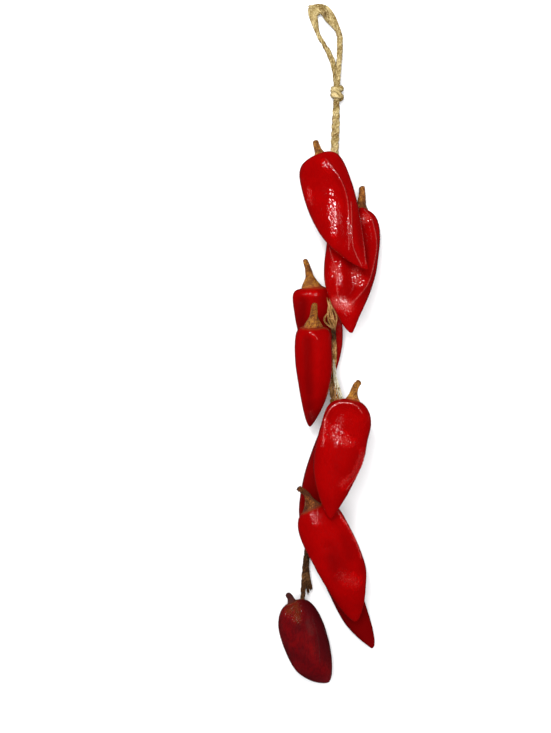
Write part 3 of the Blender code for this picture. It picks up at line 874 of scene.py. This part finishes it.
ropeLook = {
    "tans": [
        (0.42, (0.09, 0.042, 0.009)), (0.46, (0.2, 0.125, 0.038)), (0.5, (0.33, 0.24, 0.095)),
        (0.55, (0.55, 0.44, 0.22)),
    ],
    # the low and side browns are colours of painted shade
    "olive": (0.2, 0.14, 0.03), "oliveShare": 0.45, "deep": (0.09, 0.055, 0.012), "lowShadeShare": 0.8,
    "side": (0.13, 0.07, 0.02), "sideShadeShare": 0.78, "warm": (1.0, 0.64, 0.5), "warmShare": 0.9,
    # the last two are the colours of painted shade
    "shadeColour": (0.013, 0.004, 0.002), "shadeFleck": (0.085, 0.034, 0.009),
}
ropeFibre = fibreMaterial("ropeFibre", ropeLook)
paleFibre = fibreMaterial("paleFibre", {
    **ropeLook,
    "tans": [(0.4, (0.2, 0.13, 0.05)), (0.46, (0.5, 0.43, 0.24)), (0.53, (0.76, 0.74, 0.58))],
    "oliveShare": 0.25,
})

# The rope's way: x, y, z and its width there, in millimetres.
loopRoute = [
    (7.8, 283.3, 2.8, 5.0), (7.6, 295.3, 2.7, 5.4), (6.6, 305.3, 2.7, 6.2), (4.2, 315.3, 2.8, 6.4),
    (0, 325.8, 2.8, 6.2), (-5.8, 335.8, 2.7, 5.0), (-11, 344.8, 2.7, 5.0), (-14.4, 354.3, 3.0, 5.4),
    (-15.8, 365.3, 3.8, 6.0), (-11.4, 371.5, 4.6, 6.6), (-4.4, 369.9, 4.6, 7.0),
    (0.8, 363.3, 4.2, 6.6), (6.2, 357.7, 3.6, 6.4), (10.6, 350.3, 3.4, 6.6), (12.4, 341.3, 3.4, 7.0),
    (12.4, 329.3, 3.4, 6.8), (11.8, 318.3, 4.4, 6.6), (10.8, 306.3, 7.6, 6.2), (10, 295.3, 8.6, 6.0),
    (9.6, 283.3, 8.8, 5.6),
]
cordRoute = [
    (9, 283.3, 7, 6.8), (8.6, 271.3, 4.8, 7.0), (8.2, 257.3, 4.4, 8.2), (7.6, 241.3, 4.5, 9.2),
    (6.8, 223.3, 4.5, 9.2), (6.8, 203.3, 4.4, 8.6), (7, 179.3, 4, 7.4), (5.8, 154.3, 4, 7.2),
    (4.2, 127.3, 4, 7.0), (4, 103.3, 4, 6.8), (4.4, 87.3, 5.2, 6.4), (2.6, 74.3, 12, 5.0),
    (0.2, 65.3, 20, 3.0), (0.2, 58.8, 25.2, 2.8), (0.6, 50.3, 30, 3.0), (0.8, 40.3, 34.6, 4.0),
    (1.4, 27.3, 36.3, 6.2), (4, 13.3, 32.5, 5.0), (5, -0.7, 29, 5.0), (5.4, -14.7, 26, 5.2),
    (4.4, -27.7, 24, 5.4), (2.2, -39.7, 23.5, 5.0), (1.8, -51.7, 23.5, 4.8), (4.2, -60.7, 23.4, 4.8),
    (11.2, -66.7, 20.5, 4.8), (20.6, -74.7, 14.6, 4.8), (26.2, -86.7, 7.4, 4.8),
    (26.4, -100.7, 3, 5.0), (20.8, -120.7, 3, 5.2), (12.6, -144.7, 3, 5.4), (1.6, -170.7, 3, 5.6),
    (-11.2, -196.7, 3.2, 6.0), (-21, -217.7, 3.4, 6.4), (-24.6, -236.7, 4, 7.0),
    (-26.2, -252.7, 5.2, 7.4), (-27.4, -264.7, 8.4, 7.0), (-28.8, -274.7, 13, 5.6),
    (-29.4, -282.1, 17, 5.4), (-30.4, -288, 20, 5.2),
]
# Where painted shade darkens the rope: a place, how far the shade reaches, and how strong it is.
shadeSpots = [
    ((-4.5, 367.5, 5), 7, 0.55), ((4.2, 9, 33), 13, 1.0), ((2, -36, 23.5), 9, 0.7),
    ((2.2, -44, 23.5), 9, 0.6), ((2, -56, 23.5), 10, 0.5), ((-8, -190, 3), 30, 0.75),
    ((-20, -215, 3), 30, 0.9), ((-25, -245, 4), 30, 1.0), ((-28, -275, 12), 28, 1.0),
]
# how sharply the painted shade fades from its spots, where the rope turns redder, and how steep a side is
# painted darker
shadeAndTint = {"core": 1.6, "warmBelow": 60, "warmFade": 12, "sides": 0.7}  # the lower rope is redder


def shadeRope(mesh, amount, unshaded):
    where = points(mesh) / mm
    shade = np.zeros(len(where))
    for place, reach, strength in [] if unshaded else shadeSpots:
        distance = np.linalg.norm(where - np.array(place), axis=1)
        fall = shadeAndTint["core"] * distance / reach
        shade = np.maximum(shade, strength * np.clip(shadeAndTint["core"] - fall, 0, 1))
    setValues(mesh, "shade", np.maximum(shade, amount))
    warm = np.clip((shadeAndTint["warmBelow"] - where[:, 1]) / shadeAndTint["warmFade"], 0, 0 if unshaded else 1)
    setValues(mesh, "warm", warm)
    # how steeply the rope turns away from above, for its painted side shade
    setValues(mesh, "sides", np.clip(shadeAndTint["sides"] - normals(mesh)[:, 2], 0, 1))


# darkened sets a least amount of painted shade; unshaded pieces get neither the shade spots nor the redder
# tint
def makePlait(route, look, darkened=0.0, unshaded=False):
    plait = applyTree(makeRoute(route), plaitTree, {"Material": ropeFibre, **look})
    shadeRope(plait.data, darkened, unshaded)
    return plait


def ropePiece(name, pieces, seed, material=ropeFibre):  # strands made one piece, with loose fibres
    mesh = bpy.data.meshes.new(name)
    form = bmesh.new()
    for piece in pieces:
        form.from_mesh(piece.data)
    form.to_mesh(mesh)
    form.free()
    mesh.materials.append(material)
    mesh.shade_smooth()
    for piece in pieces:
        bpy.data.objects.remove(piece)
    return applyTree(placed(name, mesh), fuzzTree, {"Seed": seed, "Material": material})


def mixedRoutes(outer, inner, count):  # routes side by side between two edges
    for i in range(count):
        share = i / (count - 1)
        yield [
            tuple(a + (b - a) * share for a, b in zip(out, inside)) for out, inside in zip(outer, inner)
        ]


plaitLook = {
    "Yarns": 4, "Pitch": 26.0, "Spread": 0.16, "Depth": 0.16, "Twist": 12.0, "Yarn Spread": 0.2,
    "Yarn Radius": 0.125, "Wander": 0.5, "Seed": 1,
}
loopLook = {
    "Yarns": 4, "Pitch": 36.0, "Spread": 0.14, "Depth": 0.14, "Twist": 16.0, "Yarn Spread": 0.21,
    "Yarn Radius": 0.125, "Wander": 0.5, "Seed": 2,
}
strandLook = {
    "Strands": 1, "Yarns": 6, "Spread": 0.0, "Depth": 0.0, "Twist": 9.0, "Yarn Spread": 0.3,
    "Yarn Radius": 0.15, "Step": 0.7,
}
# A smooth core closes the gaps between a plait's yarns.
coreLook = {
    **strandLook, "Yarns": 1, "Yarn Spread": 0.0, "Yarn Radius": 0.29, "Sides": 12, "Step": 1.4,
    "Seed": 3,
}

# The loop's top is a flat band of strands, spread out where it hangs.
bandEdges = [
    [(-13.6, 347, 2.8), (-17.5, 357, 3), (-21.5, 368, 3.4), (-21, 376, 3.6), (-12, 379, 4),
     (-3, 377, 4.4), (3, 371, 4.4), (8.5, 361, 3.8), (12.6, 350, 3.2)],
    [(-11.5, 347, 3.4), (-13, 356, 4.2), (-14, 364, 5), (-13, 369.5, 5.8), (-9.5, 370.4, 6.4),
     (-6, 366.5, 6.6), (-2, 361, 6), (3.5, 356, 5), (9.5, 348, 3.8)],
]
bandTails = [  # loose ends that stand out at the loop's upper left
    ((-14, 372, 5.4), (-24, 377.5, 4)), ((-15, 369, 5), (-23.4, 375.4, 3.6)),
    ((-13, 374.5, 5), (-22.6, 378.6, 4.2)),
]
bandLook = {"strands": 6, "width": 3.2, "wider": 1.12, "narrower": 0.9, "end": 1.6}
tailLook = {"widths": (2.6, 2.8, 0.7), "bend": (0, 0.6, 0.8)}
bandParts = []
for i, places in enumerate(mixedRoutes(*bandEdges, bandLook["strands"])):
    middle = bandLook["width"] * bandLook["wider" if i % 2 else "narrower"]
    widths = [bandLook["end"], *[middle] * (len(places) - 2), bandLook["end"]]
    look = {**strandLook, "Seed": 20 + i, "Wander": 0.5, "Twist": 24.0}
    bandParts.append(makePlait([(*place, width) for place, width in zip(places, widths)], look))
for i, (start, end) in enumerate(bandTails):
    middle = tuple((a + b) / 2 + bend for a, b, bend in zip(start, end, tailLook["bend"]))
    route = [(*place, width) for place, width in zip((start, middle, end), tailLook["widths"])]
    bandParts.append(makePlait(route, {**strandLook, "Seed": 30 + i, "Wander": 0.6}))
band = ropePiece("loopBand", bandParts, 4)

# The knot: two slanted turns round the rope and a strand that crosses them.
knot = {
    "at": (9.1, 279.9, 7.6), "turns": [(3.6, 13), (-3.6, -11)], "reach": 4.5, "depth": 3.7,
    "width": 7.4, "steps": 12, "crossingWidth": 4.4,
    "crossing": [
        (-5.2, 5.6, -1), (-3.6, 3.4, 4.4), (0.2, -0.2, 7.2), (3.6, -3.4, 5.6), (5.6, -6.4, 0.4),
        (3, -7.6, -3),
    ],
    "core": [
        (8.6, 291, 6.4, 6.0), (9.1, 286, 7.4, 9.0), (9.2, 279, 7.4, 11.0), (9.0, 272, 6.0, 8.4),
    ],
}


def atKnot(*offset):
    return tuple(a + b for a, b in zip(knot["at"], offset))


knotParts = []
for i, (rise, slant) in enumerate(knot["turns"]):
    ring = []
    for k in range(knot["steps"]):
        turn = 2 * math.pi * k / knot["steps"]
        x = math.cos(turn) * knot["reach"]
        z = math.sin(turn) * knot["depth"]
        ring.append((*atKnot(x, rise + x * math.tan(math.radians(slant)), z), knot["width"]))
    look = {**strandLook, "Seed": 40 + i, "Twist": 12.0, "Yarn Spread": 0.27, "Yarn Radius": 0.2}
    knotParts.append(makePlait(ring + ring[:1], look))
crossing = [(*atKnot(*place), knot["crossingWidth"]) for place in knot["crossing"]]
look = {**strandLook, "Seed": 45, "Yarn Spread": 0.27, "Yarn Radius": 0.19}
knotParts.append(makePlait(crossing, look))
look = {**strandLook, "Seed": 46, "Yarns": 7, "Twist": 20.0}
knotParts.append(makePlait(knot["core"], look))
knotPiece = ropePiece("knot", knotParts, 5)

# Strands gathered into a bunch beside the third pepper, pointed at the top.
bunchStrands = [
    [(-3.4, 49.6, 37, 0.5), (-1.6, 42, 37, 2.0), (1.4, 34, 37.6, 2.7), (3.4, 27, 37.6, 2.9),
     (4, 20, 36.6, 2.7), (4.8, 12, 33.4, 2.6)],
    [(0.2, 37.5, 36.6, 1.0), (-2.2, 32.5, 37.6, 2.0), (-5.4, 28.6, 37.6, 2.3), (-6.2, 25, 37.2, 2.3),
     (-4.4, 21.4, 37.2, 2.2), (-0.5, 18, 36.4, 2.2), (3.5, 15, 34.6, 2.0)],
    [(-2.8, 46.6, 37.3, 0.5), (1.6, 40, 38, 1.6), (5, 34.4, 38, 2.0), (7, 29, 37.5, 2.2),
     (6.8, 23, 36.5, 2.0), (5.4, 15, 34, 1.8)],
    [(-1.8, 40.5, 38.2, 0.8), (-2.4, 33, 39.2, 2.1), (-1.8, 26, 39.4, 2.3), (0.6, 20, 38.2, 2.1),
     (3.6, 15, 35.7, 1.9)],
    [(0.4, 40, 35.6, 1.4), (1.2, 34, 35.8, 6.0), (0.4, 28, 35.8, 8.4), (1, 22, 35.2, 7.4),
     (3.2, 15, 33.6, 4.4)],
    [(-0.4, 38, 39, 0.8), (0.4, 31, 40.4, 2.0), (1.4, 25, 40.2, 2.2), (4.6, 18.5, 38, 2.2),
     (5.6, 12, 34, 1.9)],
    [(-3.6, 30, 38.6, 0.9), (-0.6, 27, 40.8, 1.8), (3.6, 25.4, 40.4, 1.9), (5.6, 21, 38.2, 1.8),
     (5, 15, 36, 1.6)],
]
# a thick strand behind the others is painted dark to stand for the shade in the gaps
shadowStrand = {"number": 4, "darkened": 0.95}  # the thick one behind the others
bunchParts = []
for i, route in enumerate(bunchStrands):
    look = {**strandLook, "Seed": 50 + i, "Wander": 0.5, "Twist": 11.0}
    darkened = shadowStrand["darkened"] if i == shadowStrand["number"] else 0.0
    bunchParts.append(makePlait(route, look, darkened))

# Under the fork the rope's own yarns open into a fan.
fanRoute = [
    (4.4, -26, 26, 1.6), (5.0, -36, 25.8, 2.8), (5.8, -46, 25.4, 4.4), (7.4, -56, 24.6, 6.4),
    (9.2, -66, 23, 6.6),
]
fanLook = {
    **strandLook, "Yarns": 7, "Twist": 60.0, "Yarn Spread": 0.36, "Yarn Radius": 0.1, "Wander": 0.8,
    "Seed": 58,
}
bunchParts.append(makePlait(fanRoute, fanLook))
bunch = ropePiece("bunch", bunchParts, 6)

# The fork: pale loose yarns that leave the rope to the right, over its dark part.
forkRoute = [
    (4.6, -18, 28, 1.2), (5.4, -28, 27.4, 2.6), (6.2, -38, 27, 3.8), (8.4, -48, 26.4, 5.0),
    (11.8, -57.5, 25.6, 4.8), (15.0, -66, 24, 4.4),
]
forkLook = {
    **strandLook, "Twist": 70.0, "Yarn Spread": 0.38, "Yarn Radius": 0.11, "Wander": 0.7, "Seed": 60,
}
fork = ropePiece("fork", [makePlait(forkRoute, forkLook, unshaded=True)], 7, paleFibre)

# The tuft: frayed ends above the lowest pepper, darkened with painted shade.
tuftStrands = [
    [(-24.8, -240, 5, 3.0), (-23.8, -252, 6, 3.8), (-22.6, -262, 7, 4.0), (-20.6, -270, 7, 3.6),
     (-18.9, -275.5, 6.6, 1.4)],
    [(-25.2, -250, 7, 3.6), (-24, -260, 8, 4.2), (-22.4, -268, 8.4, 4.0), (-20.2, -276.5, 7, 1.2)],
    [(-26, -256, 8, 3.6), (-25, -264, 9, 4.0), (-23.8, -271, 9, 3.6), (-22.2, -278.5, 8, 1.0)],
    [(-26, -262, 6, 3.4), (-24.6, -270, 6.6, 3.6), (-23.6, -277, 7, 2.6), (-23.4, -281, 8, 0.8)],
]
tuftParts = [
    makePlait(route, {**strandLook, "Seed": 70 + i, "Wander": 0.6}, darkened=0.9)
    for i, route in enumerate(tuftStrands)
]
tuft = ropePiece("tuft", tuftParts, 8)

plaitAim = {"wider": 1.1, "coreShaded": 0.4}  # yarns wander inside their width, so it's given wider


def makeCord(name, route, look, seed):  # a plait round its core
    route = [(*place, width * plaitAim["wider"]) for *place, width in route]
    yarns = makePlait(route, look)
    # painted shade: the core shows only in the gaps between yarns and is darkened
    core = makePlait(route, coreLook, plaitAim["coreShaded"])
    return ropePiece(name, [yarns, core], seed)


cord = makeCord("cord", cordRoute, plaitLook, 1)
hangingLoop = makeCord("hangingLoop", loopRoute, loopLook, 2)
ropePieces = [cord, hangingLoop, band, knotPiece, bunch, fork, tuft]
print("rope made")


def makeFloor(look):
    mesh = bpy.data.meshes.new("floor")
    far = look["reach"]
    corners = [(-far, -far, 0), (far, -far, 0), (far, far, 0), (-far, far, 0)]
    mesh.from_pydata(corners, [], [(0, 1, 2, 3)])
    floor = placed("floor", mesh)
    made, g, shader = startMaterial("paleFloor")
    plug(g, shader, Base_Color=(*look["colour"], 1), Roughness=0.9, Specular_IOR_Level=0.1)
    mesh.materials.append(made)
    floor.visible_glossy = False


def makeLight(name, place, size, power, glossy=True, aim=(0, 0, 0.03)):
    light = bpy.data.lights.new(name, "AREA")
    light.shape = "RECTANGLE"
    light.size, light.size_y = size
    light.energy = power
    obj = placed(name, light)
    obj.location = place
    obj.rotation_euler = (Vector(aim) - Vector(place)).to_track_quat("-Z", "Y").to_euler()
    obj.visible_glossy = glossy


def makeSurround(look):  # an even pale glow that the gloss hardly shows
    world = bpy.data.worlds.new("surround")
    world.use_nodes = True
    g = Graph(world.node_tree)
    glossy = g.add("ShaderNodeLightPath", {}, {}, 3)
    strength = look["strength"] - glossy * look["hidden"]
    plug(g, world.node_tree.nodes["Background"], Color=(*look["colour"], 1), Strength=strength)
    bpy.context.scene.world = world


# Place and size of each light are in metres, its power in watts.
lights = [
    {"name": "softbox", "place": (-0.4, 0.8, 1.75), "size": (0.5, 0.8), "power": 8},
    {"name": "tubeLeft", "place": (-0.52, 0.9, 1.7), "size": (0.04, 0.5), "power": 6.5},
    {"name": "tubeRight", "place": (-0.36, 0.9, 1.7), "size": (0.04, 0.5), "power": 6.5},
    {"name": "left", "place": (-1.7, 0.6, 0.4), "size": (0.04, 1.2), "power": 0.9},
    {"name": "right", "place": (1.7, 0.25, 0.2), "size": (0.05, 2.0), "power": 0.6},
    {"name": "fill", "place": (-0.1, 0.1, 2.2), "size": (2.4, 2.4), "power": 76, "glossy": False},
]

makeFloor({"reach": 4.0, "colour": (0.86, 0.86, 0.86)})
for light in lights:
    makeLight(**light)
makeSurround({"colour": (0.95, 0.97, 1.0), "strength": 0.45, "hidden": 0.43})
bpy.context.scene.view_settings.view_transform = "Standard"
print("floor and lights made")


def handIn(piece, node):
    pressDown(piece)
    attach(piece, "root")
    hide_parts(node)


for number, (skin, stem) in enumerate(zip(skins, stems), 1):
    handIn(skin, f"pepper_{number}")
    handIn(stem, f"stem_{number}")
for piece in ropePieces:
    handIn(piece, "rope")
